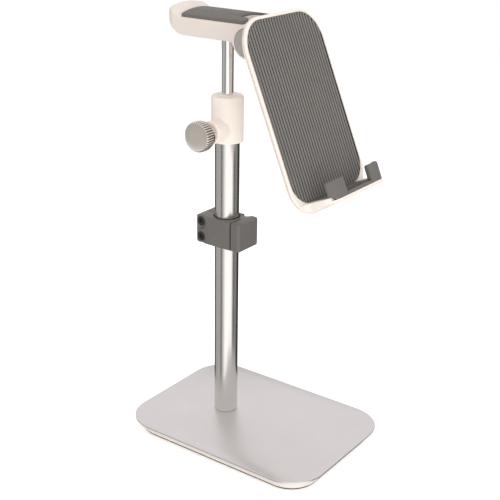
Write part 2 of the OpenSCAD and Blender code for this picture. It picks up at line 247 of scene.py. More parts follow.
def edge_levels(low, high, r_low, r_high, steps=5):
    """Levels of a slab whose two edges are rounded by r_low and r_high."""
    angles = [math.radians(90 * k / steps) for k in range(steps + 1)]
    lower = [(low + r_low * (1 - math.sin(a)), r_low * (1 - math.cos(a))) for a in reversed(angles)]
    upper = [(high - r_high * (1 - math.sin(a)), r_high * (1 - math.cos(a))) for a in angles]
    return lower + upper


def lathe(profile, steps=96, closed=False):
    """Loft of circles (radius, height) about Z."""
    return loft([[(r * c, r * s, h) for c, s in circle(steps)] for r, h in profile], closed=closed)


def prism(plan, low, high):
    """A plan raised from one height to another."""
    return slab(lambda d: plan, [(low, 0), (high, 0)])


def box(low, high):
    """A box between two corners, as a cutter."""
    (x0, y0, z0), (x1, y1, z1) = low, high
    return prism([(x0, y0), (x1, y0), (x1, y1), (x0, y1)], z0, z1)


def rod_cutter(r, a, b, place, steps=96):
    """A cylinder from height a to b, moved by place, as a cutter."""
    bm = lathe([(r, a), (r, b)], steps)
    bm.transform(place)
    return bm


def as_mesh(bm, name="tmp"):
    """A mesh made of bm, which is used up."""
    mesh = bpy.data.meshes.new(name)
    bm.to_mesh(mesh)
    bm.free()
    return mesh


def add_object(name, data):
    """An object in the scene."""
    ob = bpy.data.objects.new(name, data)
    bpy.context.collection.objects.link(ob)
    return ob


def solve(a, b, operation):
    """Boolean of two meshes; both are used up."""
    objects = [add_object("tmp", as_mesh(bm)) for bm in (a, b)]
    modifier = objects[0].modifiers.new("b", "BOOLEAN")
    modifier.operation = operation
    modifier.solver = "EXACT"
    modifier.object = objects[1]
    bpy.context.view_layer.update()
    depsgraph = bpy.context.evaluated_depsgraph_get()
    result = bmesh.new()
    result.from_mesh(objects[0].evaluated_get(depsgraph).to_mesh())
    for ob in objects:
        mesh = ob.data
        bpy.data.objects.remove(ob)
        bpy.data.meshes.remove(mesh)
    bmesh.ops.remove_doubles(result, verts=result.verts, dist=0.002)
    return result


def cut(bm, *cutters):
    """bm less each cutter in turn."""
    for cutter in cutters:
        bm = solve(bm, cutter, "DIFFERENCE")
    return bm


def soften(bm, width, segments=2, angle=35.0, only=None):
    """Rounds the edges sharper than angle."""
    limit = math.radians(angle)
    edges = []
    for e in bm.edges:
        if len(e.link_faces) == 2 and e.calc_face_angle(0) > limit and (only is None or only(e)):
            edges.append(e)
    bmesh.ops.bevel(bm, geom=edges, offset=width, segments=segments, profile=0.5, affect="EDGES",
                    clamp_overlap=True)
    return bm


def strips(bm, values):
    """Cuts a mesh into strips at values of X, so that it can bend."""
    for x in values:
        geom = bm.verts[:] + bm.edges[:] + bm.faces[:]
        bmesh.ops.bisect_plane(bm, geom=geom, plane_co=(x, 0, 0), plane_no=(1, 0, 0), dist=0.0005)
    return bm


def piece(name, bm, body, finish, cad_node, place=Matrix(), sharp=32.0):
    """Makes the object, in metres, riding on its body in place of its CAD node."""
    bm.transform(place)
    bmesh.ops.recalc_face_normals(bm, faces=bm.faces)
    bm.transform(Matrix.Scale(MM, 4))
    limit = math.radians(sharp)
    for f in bm.faces:
        f.smooth = True
    for e in bm.edges:
        e.smooth = not (len(e.link_faces) == 2 and e.calc_face_angle(0) > limit)
    mesh = as_mesh(bm, name)
    mesh.materials.append(FINISH[finish])
    ob = add_object(name, mesh)
    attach(ob, body)
    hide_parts(cad_node)


def joined(parts):
    """One mesh from several separate closed ones."""
    whole = bmesh.new()
    for bm in parts:
        mesh = as_mesh(bm)
        whole.from_mesh(mesh)
        bpy.data.meshes.remove(mesh)
    return whole


# ---- places ----

AT_POLE = Matrix.Translation((0, POLE_Y, 0))
AT_HINGE = Matrix.Translation((0, HINGE_Y, HINGE_Z))
ALONG_X = Matrix.Rotation(math.radians(90), 4, "Y")
ALONG_Y = Matrix.Rotation(math.radians(90), 4, "X")
ALONG_SCREW = Matrix.Translation((0, POLE_Y, SCREW_Z)) @ Matrix.Rotation(math.radians(-90), 4, "Y")
ALONG_HINGE = AT_HINGE @ ALONG_X
IN_TRAY = AT_HINGE @ Matrix.Rotation(math.radians(-TRAY_LEAN), 4, "X")
# a slab drawn as (across, up the plate, out of the face)
UPRIGHT = Matrix(((1, 0, 0, 0), (0, 0, -1, 0), (0, 1, 0, 0), (0, 0, 0, 1)))
TRAY_FACE = IN_TRAY @ UPRIGHT
# a side view drawn as (y, z), with its thickness along x
SIDE_VIEW = Matrix(((0, 0, 1, 0), (1, 0, 0, 0), (0, 1, 0, 0), (0, 0, 0, 1)))


# ---- materials ----

def node(tree, kind, **inputs):
    """A shader node; each input or property is set, or linked where a socket is given."""
    n = tree.nodes.new(kind)
    for key, value in inputs.items():
        if key not in n.inputs:
            setattr(n, key, value)
        elif isinstance(value, bpy.types.NodeSocket):
            tree.links.new(value, n.inputs[key])
        else:
            n.inputs[key].default_value = value
    return n


def axes(tree, vector):
    """The X, Y and Z outputs of a vector."""
    return node(tree, "ShaderNodeSeparateXYZ", Vector=vector).outputs


def noise(tree, coords, scale, detail=3.0, rough=0.5, stretch=(1, 1, 1)):
    """Noise over the object's own coordinates; scale is in features a metre."""
    place = node(tree, "ShaderNodeMapping", Scale=stretch, Vector=coords).outputs["Vector"]
    n = node(tree, "ShaderNodeTexNoise", Scale=scale, Detail=detail, Roughness=rough, Vector=place)
    return n.outputs["Fac"]


def ranged(tree, value, low, high, start=0.3, end=0.7):
    """value from start..end brought to low..high."""
    limits = {"From Min": start, "From Max": end, "To Min": low, "To Max": high}
    return node(tree, "ShaderNodeMapRange", Value=value, **limits).outputs["Result"]


def mixed(tree, factor, a, b):
    """Mix of a and b, which are sockets or colours."""
    mix = node(tree, "ShaderNodeMix", data_type="RGBA", Factor=factor)
    for socket, color in ((mix.inputs[6], a), (mix.inputs[7], b)):
        if isinstance(color, tuple):
            socket.default_value = (*color, 1)
        else:
            tree.links.new(color, socket)
    return mix.outputs[2]


def shade(color, k):
    """A colour made k times as bright."""
    return tuple(min(c * k, 1.0) for c in color)


def math_node(tree, operation, a, b=None):
    """A Math node; a and b are sockets or numbers."""
    n = node(tree, "ShaderNodeMath", operation=operation)
    for socket, value in zip(n.inputs, (a, b)):
        if isinstance(value, (int, float)):
            socket.default_value = value
        elif value is not None:
            tree.links.new(value, socket)
    return n.outputs[0]


def paint_knurl_shade(tree, coords, tone, dark):
    """Painted shade in the knob's grooves, which stand at even angles about the screw's axis."""
    place = axes(tree, coords)
    across = math_node(tree, "SUBTRACT", place["Y"], POLE_Y * MM)
    up = math_node(tree, "SUBTRACT", place["Z"], SCREW_Z * MM)
    turn = math_node(tree, "ARCTAN2", across, up)
    wave = math_node(tree, "COSINE", math_node(tree, "MULTIPLY", turn, float(KNOB_TEETH)))
    groove = ranged(tree, wave, 0.0, 1.0, 0.0, 0.8)
    square = math_node(tree, "ADD", math_node(tree, "POWER", across, 2.0), math_node(tree, "POWER", up, 2.0))
    radius = math_node(tree, "SQRT", square)
    rim = ranged(tree, radius, 0.0, 1.0, 8.2 * MM, 8.4 * MM)
    outer = ranged(tree, radius, 1.0, 0.35, 8.55 * MM, 8.95 * MM)
    factor = math_node(tree, "MULTIPLY", math_node(tree, "MULTIPLY", groove, rim), outer)
    return mixed(tree, factor, tone, dark)


def tint_edges(tree, tone, other, low, high, start, end):
    """Blends other in by low..high where the surface's pointiness is start..end."""
    pointiness = node(tree, "ShaderNodeNewGeometry").outputs["Pointiness"]
    return mixed(tree, ranged(tree, pointiness, low, high, start, end), tone, other)


def paint_valley_shade(tree, coords, tone, color, pitch):
    """Painted shade between ribs that follow each other along X at a pitch."""
    turns = math_node(tree, "MULTIPLY", axes(tree, coords)["X"], 2 * math.pi / (pitch * MM))
    deep = ranged(tree, math_node(tree, "COSINE", turns), 0.0, 1.0, -0.1, 0.95)
    return mixed(tree, deep, tone, shade(color, 0.12))


def bump_node(tree, height, depth):
    """A bump that is depth metres deep."""
    return node(tree, "ShaderNodeBump", Strength=1.0, Distance=depth, Height=height)


def surface(name, color, rough, metallic, mottle, grain_scale, grain, mottle_scale=60.0, rough_vary=0.05,
            stretch=(1, 1, 1), edge=0.0, crevice_shade=0.0, specular=0.5, streaks=None, rib_shade_pitch=0.0,
            knurl_shade=False):
    """Procedural finish: slow colour change, uneven gloss, fine grain, lighter sharp edges, and painted
    shade in hollows, rib valleys and knurl grooves.
    """
    material = bpy.data.materials.new(name)
    material.use_nodes = True
    tree = material.node_tree
    shader = tree.nodes["Principled BSDF"]
    shader.inputs["Metallic"].default_value = metallic
    shader.inputs["Specular IOR Level"].default_value = specular
    coords = node(tree, "ShaderNodeTexCoord").outputs["Object"]
    slow = ranged(tree, noise(tree, coords, mottle_scale, 4.0), 0.0, 1.0)
    tone = mixed(tree, slow, shade(color, 1 - mottle), shade(color, 1 + mottle))
    fine = noise(tree, coords, grain_scale, 2.0, 0.6, stretch)
    speck = ranged(tree, fine, 0.0, 1.0, 0.25, 0.75)
    speck = ranged(tree, speck, 0.0, 0.35, 0.0, 1.0)
    tone = mixed(tree, speck, tone, shade(color, 1 - 1.6 * mottle))
    if edge > 0:
        tone = tint_edges(tree, tone, shade(color, 1.35), 0.0, edge, 0.52, 0.60)
    # painted shade: darker colour in hollows and inner corners
    if crevice_shade > 0:
        tone = tint_edges(tree, tone, shade(color, 0.25), crevice_shade, 0.0, 0.40, 0.495)
    # painted shade: darker colour in the valleys between the pad's ribs
    if rib_shade_pitch > 0:
        tone = paint_valley_shade(tree, coords, tone, color, rib_shade_pitch)
    # painted shade: nearly black colour in the knob's knurl grooves
    if knurl_shade:
        tone = paint_knurl_shade(tree, coords, tone, shade(color, 0.06))
    tree.links.new(tone, shader.inputs["Base Color"])
    smear = noise(tree, coords, mottle_scale * 2.3, 5.0, 0.65)
    gloss = ranged(tree, smear, rough - rough_vary, rough + rough_vary)
    tree.links.new(gloss, shader.inputs["Roughness"])
    bump = bump_node(tree, fine, grain * MM)
    if streaks is not None:
        lines = noise(tree, coords, 900.0, 2.0, 0.5, streaks)
        drawn = bump_node(tree, lines, grain * MM * 0.6)
        tree.links.new(bump.outputs["Normal"], drawn.inputs["Normal"])
        bump = drawn
    tree.links.new(bump.outputs["Normal"], shader.inputs["Normal"])
    return material


WHITE = (0.80, 0.735, 0.68)
GREY = (0.155, 0.147, 0.138)
SOFT = {"mottle_scale": 90.0, "rough_vary": 0.08, "specular": 0.30}
# colour lighter on sharp edges
LIGHT_EDGED = {"edge": 0.3}

# base colour, roughness, metallic, mottle, grains a metre, grain depth in mm, and the rest by name
FINISHES = {
    "plate": ((0.66, 0.645, 0.66), 0.33, 1.0, 0.02, 5200.0, 0.006, {"rough_vary": 0.03, "edge": 0.4}),
    "tube": ((0.70, 0.68, 0.66), 0.23, 1.0, 0.015, 1800.0, 0.0002, {
        "rough_vary": 0.02, "stretch": (1, 1, 0.04), "streaks": (1, 1, 0.02)}),
    "chrome": ((0.80, 0.80, 0.79), 0.045, 1.0, 0.015, 1500.0, 0.0002, {
        "rough_vary": 0.015, "stretch": (1, 1, 0.1)}),
    # the knob's knurl grooves get painted shade
    "knob": ((0.84, 0.79, 0.73), 0.34, 1.0, 0.02, 3000.0, 0.002, {
        "rough_vary": 0.04, "streaks": (0.05, 1, 1), "knurl_shade": True}),
    # the cream plastic is one material in lit and shaded copies: the head's colour is darkened as painted
    # shade, the collar's lifted as painted light
    "white": (shade(WHITE, 0.86), 0.42, 0.0, 0.018, 4200.0, 0.010, {"edge": 0.06}),
    "head": (shade(WHITE, 0.76), 0.42, 0.0, 0.018, 4200.0, 0.010, {"edge": 0.06}),
    "collar": (shade(WHITE, 0.98), 0.40, 0.0, 0.015, 4200.0, 0.010, {"edge": 0.03}),
    "tray": (shade(WHITE, 0.86), 0.36, 0.0, 0.018, 5200.0, 0.007, {"edge": 0.06}),
    "cap": ((0.315, 0.30, 0.28), 0.40, 0.0, 0.04, 3800.0, 0.010, {"edge": 0.25}),
    # silicone's grey is a darker copy of the pad's, painted shade for faces turned up to the light; its
    # hollows get painted shade too
    "silicone": (shade(GREY, 0.78), 0.62, 0.0, 0.05, 3000.0, 0.018, {**SOFT, "crevice_shade": 0.9}),
    # the pad gets painted shade in the valleys between its ribs
    "pad": (shade(GREY, 1.04), 0.60, 0.0, 0.05, 3000.0, 0.018, {**SOFT, "rib_shade_pitch": RIB_PITCH}),
    # the clip gets painted shade in its hollows and recesses
    "clip": (shade(GREY, 0.68), 0.46, 0.0, 0.05, 3400.0, 0.018, {"edge": 0.25, "crevice_shade": 0.8}),
    "foot": ((0.045, 0.045, 0.046), 0.75, 0.0, 0.12, 2200.0, 0.03, {}),
    "steel": ((0.50, 0.50, 0.51), 0.30, 1.0, 0.05, 2800.0, 0.006, LIGHT_EDGED),
    "dark_steel": ((0.05, 0.05, 0.052), 0.38, 0.6, 0.08, 2800.0, 0.008, LIGHT_EDGED),
    "ballast": ((0.16, 0.155, 0.15), 0.6, 0.8, 0.15, 1500.0, 0.03, {}),
    "brass": ((0.72, 0.52, 0.22), 0.32, 1.0, 0.05, 2800.0, 0.006, {}),
    "nylon": ((0.86, 0.84, 0.82), 0.45, 0.0, 0.03, 2600.0, 0.010, {}),
}
FINISH = {key: surface(key + "_finish", *row[:-1], **row[-1]) for key, row in FINISHES.items()}


# ---- base ----

def base_outline(d):
    """The base plate's outline, set in by d."""
    return round_rect(-BASE_X, -BASE_Y, BASE_X, BASE_Y, BASE_R, BASE_R, d, 28)


def build_base():
    """The metal plate, the white housing under it and the grooved mat."""
    plate = slab(base_outline, [
        (PLATE_LOW, 0.30), (PLATE_LOW + 0.08, 0.10), (PLATE_LOW + 0.22, 0.0), (PLATE_TOP - 0.34, 0.0),
        (PLATE_TOP - 0.30, 0.04), (PLATE_TOP - 0.04, 0.34), (PLATE_TOP, 0.42)])
    piece("base_plate_skin", plate, "stand", "plate", "base_plate")
    housing = slab(base_outline, [
        (CAVITY_TOP, CAVITY_INSET), (HOUSING_LOW, CAVITY_INSET), (HOUSING_LOW, 6.1),
        (HOUSING_LOW + 0.10, 5.65), (HOUSING_LOW + 0.35, 5.28), (HOUSING_LOW + 0.75, 5.07),
        (HOUSING_LOW + 1.2, HOUSING_INSET), (PLATE_LOW - 0.35, HOUSING_INSET), (PLATE_LOW - 0.20, 5.25),
        (PLATE_LOW, 5.25)])
    piece("base_housing_shell", housing, "stand", "white", "base_housing")
    levels = [(HOUSING_LOW, MAT_INSET), (0.2, MAT_INSET), (0.05, 6.05), (0.0, 6.2)]
    for k in range(4):
        d = 9.5 + 3.2 * k
        levels += [(0.0, d), (0.30, d + 0.3), (0.30, d + 1.1), (0.0, d + 1.4)]
    piece("base_mat_ribbed", slab(base_outline, levels), "stand", "foot", "base_mat")


# ---- pole, rod and collar ----

def boss_solid():
    """The screw boss, with a small fillet that runs out onto the collar."""
    fillet = 0.5
    ring = circle(96)
    deep = BOSS_R + fillet
    loops = [[(deep * c * 0.6, deep * s * 0.6, 4.0) for c, s in ring]]
    for k in range(10):
        t = math.radians(90 * k / 9)
        r = BOSS_R + fillet * (1 - math.sin(t))
        out = fillet * (1 - math.cos(t)) - 0.03
        loops.append([(r * c, r * s, math.sqrt(COLLAR_R ** 2 - (r * s) ** 2) + out) for c, s in ring])
    for less, u in [(0, 15.0), (0, 16.3), (0.1, 16.8), (0.35, 17.15), (0.7, BOSS_END), (1.4, BOSS_END)]:
        loops.append([((BOSS_R - less) * c, (BOSS_R - less) * s, u) for c, s in ring])
    bm = loft(loops)
    # along the screw, local X is the pole's Z
    bm.transform(ALONG_SCREW)
    return bm


def build_tube():
    """The tube, with the hole that lets the thumbscrew's pad through to the rod."""
    tube = lathe([(POLE_BORE, 9.0), (POLE_R - 0.25, 9.0), (POLE_R, 9.25), (POLE_R, POLE_TOP - 0.4),
                  (POLE_R - 0.4, POLE_TOP), (POLE_BORE, POLE_TOP)], 128, closed=True)
    tube.transform(AT_POLE)
    tube = cut(tube, rod_cutter(2.5, 0, 15, ALONG_SCREW, 48))
    piece("pole_tube_skin", tube, "stand", "tube", "pole_tube")


def build_collar():
    """The white collar, bored for the tube, the guide's neck and the screw's insert."""
    body = lathe([(COLLAR_R - 0.6, COLLAR_LOW), (COLLAR_R - 0.18, COLLAR_LOW + 0.18),
                  (COLLAR_R, COLLAR_LOW + 0.6), (COLLAR_R, COLLAR_HIGH - 1.2),
                  (COLLAR_R - 0.12, COLLAR_HIGH - 0.7), (COLLAR_R - 0.45, COLLAR_HIGH - 0.25),
                  (COLLAR_R - 0.95, COLLAR_HIGH - 0.04), (COLLAR_R - 1.3, COLLAR_HIGH)], 128)
    body.transform(AT_POLE)
    body = solve(body, boss_solid(), "UNION")
    body = cut(body, rod_cutter(POLE_R + 0.05, COLLAR_LOW - 1, POLE_TOP, AT_POLE),
               rod_cutter(GUIDE_NECK_R + 0.12, POLE_TOP - 1, COLLAR_HIGH + 1, AT_POLE),
               rod_cutter(3.05, 5.0, BOSS_END + 1, ALONG_SCREW))
    piece("collar_shell", body, "stand", "collar", "collar", sharp=40)


def build_rod():
    """The guide bush in the tube's top, and the rod that slides in it."""
    guide = lathe([(ROD_R + 0.05, GUIDE_LOW), (POLE_BORE - 0.25, GUIDE_LOW),
                   (POLE_BORE - 0.05, GUIDE_LOW + 0.3), (POLE_BORE - 0.05, POLE_TOP),
                   (GUIDE_NECK_R, POLE_TOP), (GUIDE_NECK_R, COLLAR_HIGH - 0.05),
                   (GUIDE_NECK_R - 0.25, COLLAR_HIGH + 0.25), (GUIDE_NECK_R - 0.7, COLLAR_HIGH + 0.35),
                   (ROD_R + 0.35, COLLAR_HIGH + 0.3), (ROD_R + 0.08, COLLAR_HIGH)], 96, closed=True)
    piece("rod_guide_ring", guide, "stand", "nylon", "rod_guide", AT_POLE)
    rod = lathe([(ROD_R - 0.4, ROD_FOOT), (ROD_R, ROD_FOOT + 0.4), (ROD_R, ROD_SHOULDER - 0.25),
                 (ROD_R - 0.25, ROD_SHOULDER), (JOURNAL_R, ROD_SHOULDER), (JOURNAL_R, JOURNAL_TOP)], 96)
    piece("rod_polished", rod, "rod", "chrome", "rod", AT_POLE)


def knob_ring(r, u, depth, steps):
    """One ring of the knob; depth is how deep the knurl is cut there."""
    ring = []
    for k in range(steps):
        a = 2 * math.pi * k / steps
        tooth = abs(math.sin(a * KNOB_TEETH / 2)) ** 0.7
        rr = r - depth * (1 - tooth)
        ring.append((rr * math.cos(a), rr * math.sin(a), u))
    return ring


def build_knob():
    """The thumbscrew's knurled head; each ring is radius, reach from the pole and knurl depth."""
    steps = KNOB_TEETH * 10
    rings = [(2.05, 24.5, 0), (2.05, 18.25, 0), (2.4, 18.0, 0), (5.2, 18.0, 0), (5.5, 18.3, 0),
             (5.5, 19.3, 0), (5.1, 19.6, 0), (5.1, 21.6, 0), (5.5, 22.3, 0), (6.2, KNOB_BACK, 0),
             (8.0, KNOB_BACK, 0), (8.35, 22.65, 0), (8.45, 23.0, 0), (8.45, 23.9, 0), (8.6, 24.1, 0.1),
             (KNOB_R, 24.6, KNURL_DEPTH), (KNOB_R, 28.9, KNURL_DEPTH), (8.65, 29.35, 0.1),
             (8.55, 29.6, 0), (8.3, KNOB_FACE, 0), (7.75, KNOB_FACE, 0), (7.6, 29.8, 0),
             (7.5, 29.76, 0), (3.0, 29.76, 0)]
    bm = loft([knob_ring(r, u, d, steps) for r, u, d in rings])
    piece("thumbscrew_knurled", bm, "thumbscrew", "knob", "thumbscrew_knob",
          ALONG_SCREW, sharp=50)


# ---- hanger ----

def arch(x):
    """Height of the hanger's bare top at x."""
    return ARCH_TOP - ARCH_R + math.sqrt(ARCH_R ** 2 - x ** 2)


def hanger_bottom(y):
    """Height of the underside: the round prongs in front, a flat, and the heel at the back."""
    fillet = 2.5
    fillet_y = HINGE_Y + math.sqrt((PRONG_R + fillet) ** 2 - (HINGE_Z - HANGER_LOW + fillet) ** 2)
    touch = HINGE_Y + (fillet_y - HINGE_Y) * PRONG_R / (PRONG_R + fillet)
    if y < touch:
        return HINGE_Z - math.sqrt(max(PRONG_R ** 2 - (y - HINGE_Y) ** 2, 0))
    if y < fillet_y:
        return HANGER_LOW - fillet + math.sqrt(fillet ** 2 - (y - fillet_y) ** 2)
    heel = HANGER_BACK - HEEL_R
    if y < heel:
        return HANGER_LOW
    return HANGER_LOW + HEEL_R - math.sqrt(max(HEEL_R ** 2 - (y - heel) ** 2, 0))


def hanger_rise(y):
    """How far the lip at the back stands above the plain arch."""
    if y < LIP_START:
        return 0.0
    t = min((y - LIP_START) / (LIP_FULL - LIP_START), 1.0)
    return LIP_RISE * t * t * (3 - 2 * t) - fall(LIP_ROUND, y - (HANGER_BACK - LIP_ROUND))


def hanger_top(x, y):
    """Height of the top: the arch with its lip, and never above the rounded nose."""
    top = arch(x) + hanger_rise(y)
    nose_y = HINGE_Y - PRONG_R + NOSE_R
    if y >= nose_y:
        return top
    nose = HINGE_Z + math.sqrt(max(NOSE_R ** 2 - (y - nose_y) ** 2, 0))
    blend = 0.6
    gap = max(blend - abs(top - nose), 0) / blend
    return min(top, nose) - gap * gap * blend / 4


def hanger_section(y, across=18, corner=6):
    """Loop round the hanger at y, with rounded edges."""
    plan_r = 5.0
    half = HANGER_X - fall(plan_r, y - (HANGER_BACK - plan_r))
    low = hanger_bottom(y)
    r = min(1.1, (hanger_top(half, y) - low) * 0.42)
    side = hanger_top(half, y) - r
    loop = [(-half + r + 2 * (half - r) * k / across, low) for k in range(across + 1)]
    loop += arc(half - r, low + r, r, -90, 0, corner)[1:]
    loop += arc(half - r, side, r, 0, 82, corner)
    for k in range(1, across):
        x = half - r - 2 * (half - r) * k / across
        loop.append((x, hanger_top(x, y)))
    loop += arc(-half + r, side, r, 98, 180, corner)
    loop += arc(-half + r, low + r, r, 180, 270, corner)[:-1]
    return [(x, y, z) for x, z in loop]


def hanger_stations():
    """The places of the hanger's sections, closer together where it curves."""
    front = HINGE_Y - PRONG_R
    stations = [front + NOSE_R * (1 - math.cos(math.radians(a))) for a in range(6, 91, 4)]
    y = 2.5
    while y < 41.5:
        stations.append(y)
        y += 1.0 if y < 12 else 3.0
    stations += [42.0 + 0.6 * k for k in range(19)]
    stations += [HANGER_BACK - LIP_ROUND * (1 - math.sin(math.radians(a))) for a in range(8, 91, 9)]
    ends = sorted(set(round(s, 4) for s in stations))
    return [s for s in ends if s <= HANGER_BACK - 0.001] + [HANGER_BACK - 0.001]


def build_hanger_shell():
    """The shell, hollow below, with its swivel boss, screw posts and hinge bores."""
    shell = loft([hanger_section(y) for y in hanger_stations()])
    notch_plan = round_polygon([(-NOTCH_X, -14, 0), (NOTCH_X, -14, 0), (NOTCH_X, NOTCH_BACK, 1.2),
                                (-NOTCH_X, NOTCH_BACK, 1.2)], 5)
    shell = cut(shell, prism(notch_plan, 240, 280), box((-14.5, 9.4, 252), (14.5, 41.5, 261.8)))
    shell = solve(shell, rod_cutter(6.5, 255.2, 262.4, AT_POLE), "UNION")
    for y in COVER_SCREW_Y:
        at = Matrix.Translation((0, y, 0))
        shell = solve(shell, rod_cutter(3.0, 255.2, 262.4, at, 48), "UNION")
        shell = cut(shell, rod_cutter(1.1, 250, 261.5, at, 32))
    shell = cut(shell, rod_cutter(4.5, 250, 260.5, AT_POLE), rod_cutter(5.7, 260.5, 262.4, AT_POLE),
                rod_cutter(3.3, 262, 270, AT_POLE), rod_cutter(HINGE_BOLT_R, -30, 30, ALONG_HINGE, 48))
    for side in (-1, 1):
        for r, a in ((CAP_R + 0.12, 15.25), (4.0, 12.3)):
            low, high = sorted((side * a, side * 30))
            shell = cut(shell, rod_cutter(r, low, high, ALONG_HINGE, 96))
    piece("hanger_shell_moulded", shell, "head", "head", "hanger_shell", sharp=38)


def build_hanger_pad():
    """The grey pad on the hanger, bent over its arch."""
    corners = [(15.5, 0.4, 1.6), (15.5, 45.7, 1.2), (-15.5, 45.7, 1.2), (-15.5, 0.4, 1.6),
               (-9.4, 1.6, 1.6), (-9.4, NOTCH_BACK + 0.9, 1.2), (9.4, NOTCH_BACK + 0.9, 1.2),
               (9.4, 1.6, 1.6)]
    plan = round_polygon(corners, 6)
    pad = slab(lambda d: inset_loop(plan, d), [
        (-0.35, 0.0), (0.95, 0.0), (1.25, 0.08), (1.42, 0.26), (1.5, 0.55)])
    pad = strips(pad, [1.5 * k for k in range(-10, 11)])
    for v in pad.verts:
        v.co.z += arch(v.co.x)
    piece("hanger_pad_soft", pad, "head", "silicone", "hanger_pad", sharp=50)


def build_hanger_cover():
    """The plate under the hanger, and its two screws."""
    plan = round_polygon([(-14.4, 9.5, 0.8), (14.4, 9.5, 0.8), (14.4, 41.4, 0.8), (-14.4, 41.4, 0.8)], 5)
    cover = slab(lambda d: inset_loop(plan, d), [
        (HANGER_LOW, 0.35), (HANGER_LOW + 0.1, 0.1), (HANGER_LOW + 0.3, 0.0), (255.1, 0.0)])
    cover = cut(cover, rod_cutter(3.8, 250, 260, AT_POLE, 64))
    recess = 254.2
    heads = []
    for y in COVER_SCREW_Y:
        at = Matrix.Translation((0, y, 0))
        cover = cut(cover, rod_cutter(1.5, 250, 260, at, 48), rod_cutter(2.8, 250, recess, at, 48))
        head = screw(2.65, 1.0, 1.1, 6.9, "cross")
        head.transform(Matrix.Translation((0, y, recess)))
        heads.append(head)
    piece("hanger_cover_plate", cover, "head", "head", "hanger_cover")
    piece("hanger_cover_screw_set", joined(heads), "head", "steel", "hanger_cover_screws")


def build_hinge():
    """The round caps over the hinge's ends."""
    profile = [(CAP_R, 15.3), (CAP_R, 16.15), (CAP_R - 0.1, 16.38), (CAP_R - 0.35, HANGER_X),
               (7.3, HANGER_X), (7.15, 16.42), (7.0, 16.4), (3.0, 16.46)]
    for turn, name in ((0.0, "right"), (math.pi, "left")):
        cap = lathe(profile, 96)
        place = ALONG_HINGE @ Matrix.Rotation(turn, 4, "X")
        piece(f"hinge_cap_{name}_disc", cap, "head", "cap", f"hinge_cap_{name}", place)


# ---- screws ----

def recess_ring(kind, r, steps):
    """Outline of a driver recess, with steps points."""
    ring = []
    for k in range(steps):
        a = 2 * math.pi * k / steps
        if kind == "hex":
            sector = (a % (math.pi / 3)) - math.pi / 6
            rr = r * math.cos(math.pi / 6) / math.cos(sector)
        else:
            quarter = (a + math.pi / 4) % (math.pi / 2) - math.pi / 4
            rr = r * (0.38 + 0.62 * max(0.0, 1 - abs(quarter) / 0.42) ** 0.6)
        ring.append((rr * math.cos(a), rr * math.sin(a)))
    return ring


def screw(head_r, head_h, shank_r, shank_l, kind):
    """A screw with its head's top down at -head_h, its shank going up from 0."""
    steps = 72

    def ring(r, h):
        return [(r * c, r * s, h) for c, s in circle(steps)]

    recess = recess_ring(kind, head_r * 0.62, steps)
    depth = -head_h + min(head_h * 0.75, 1.1)
    loops = [[(x * 0.8, y * 0.8, depth) for x, y in recess],
             [(x, y, -head_h + 0.05) for x, y in recess],
             [(x * 1.06, y * 1.06, -head_h) for x, y in recess],
             ring(head_r * 0.82, -head_h), ring(head_r * 0.94, -head_h + head_h * 0.07),
             ring(head_r, -head_h + head_h * 0.22), ring(head_r, 0), ring(shank_r, 0)]
    pitch = 0.5
    turns = int(shank_l / pitch) - 1
    for k in range(turns):
        loops += [ring(shank_r * 0.86, pitch * (k + 0.5)), ring(shank_r, pitch * (k + 1))]
    loops += [ring(shank_r * 0.7, shank_l)]
    return loft(loops)


# ---- tray ----

def tray_outline(d):
    """The tray's outline, set in by d."""
    return round_rect(-TRAY_X, TRAY_LOW, TRAY_X, TRAY_HIGH, TRAY_R_LOW, TRAY_R_HIGH, d, 24)


def pad_outline(d):
    """The ribbed pad's outline, set in by d."""
    return round_rect(-PAD_X, PAD_LOW, PAD_X, PAD_HIGH, PAD_R_LOW, PAD_R_HIGH, d, 24)


def shelf_plan():
    """The shelf from above, in the tray's frame, its front towards -Y."""
    root = -TRAY_SEAM - 0.9
    front = -PAD_FACE - SHELF_N
    flare = 5.0
    wide = SHELF_X + flare + 0.6
    return round_polygon([
        (-SHELF_X, front, SHELF_R), (SHELF_X, front, SHELF_R), (SHELF_X, -TRAY_RIM, flare),
        (wide, -TRAY_RIM, 0), (wide, root, 0), (-wide, root, 0), (-wide, -TRAY_RIM, 0),
        (-SHELF_X, -TRAY_RIM, flare)], 10)


def tray_plate():
    """The tray's front half, with its rounded rim and the bed that the pad lies in."""
    levels = [(TRAY_SEAM, 0.35), (TRAY_SEAM + 0.16, 0.06), (TRAY_SEAM + 0.30, 0.0)]
    for k in range(6):
        a = math.radians(90 * k / 5)
        levels.append((TRAY_RIM - 0.75 * (1 - math.sin(a)), 0.75 * (1 - math.cos(a))))
    loops = [[(x, y, h) for x, y in tray_outline(d)] for h, d in levels]
    loops += [[(x, y, h) for x, y in pad_outline(d)] for h, d in ((TRAY_RIM, -0.12), (PAD_BED, -0.06))]
    plate = loft(loops)
    plate.transform(UPRIGHT)
    return plate


